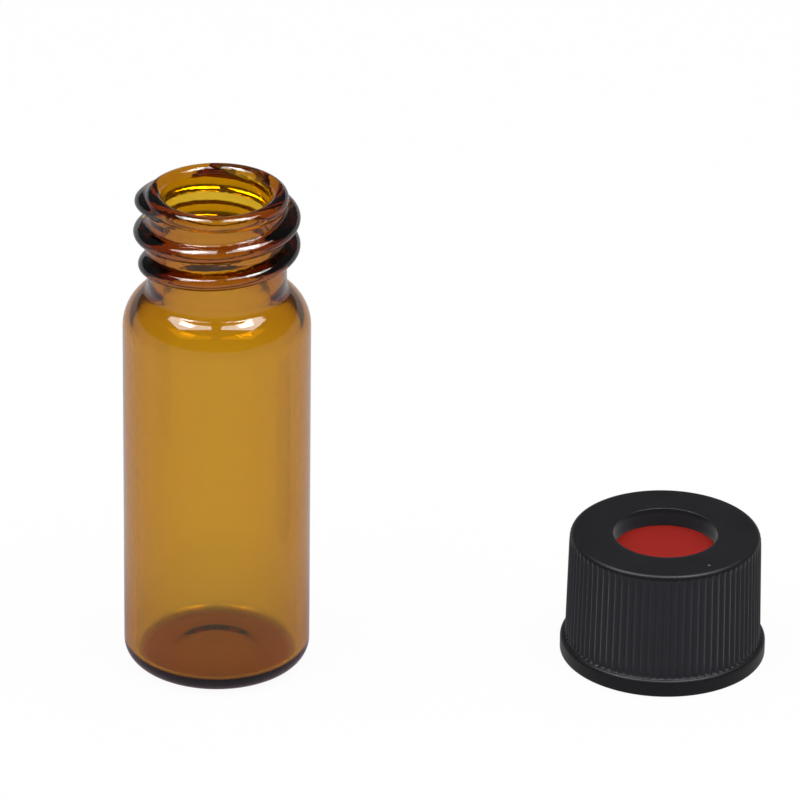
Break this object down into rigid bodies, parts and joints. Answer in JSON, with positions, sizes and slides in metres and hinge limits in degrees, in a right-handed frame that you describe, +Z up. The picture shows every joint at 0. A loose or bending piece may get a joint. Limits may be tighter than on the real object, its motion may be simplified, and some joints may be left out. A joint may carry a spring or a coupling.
{
  "type": "glass sample vial",
  "caption": "Small amber glass vial with a threaded neck, standing open beside its black screw cap, which has a needle hole over a red septum.",
  "frame": {"origin": "centre of the ring that the vial stands on, on the vial's axis", "axes": "+Z up along the vial's axis, +X from the vial towards its cap, +Y to the back"},
  "size_m": [0.0402, 0.0135, 0.032],
  "materials": {
    "amber_glass": "clear amber glass, smooth and glossy",
    "black_plastic": "moulded black polypropylene, satin",
    "red_silicone": "smooth red silicone rubber",
    "white_film": "smooth white fluoropolymer film"
  },
  "bodies": {
    "root": {"vial": "amber_glass", "cap": "black_plastic", "septum_silicone": "red_silicone", "septum_ptfe": "white_film"}
  },
  "joints": []
}
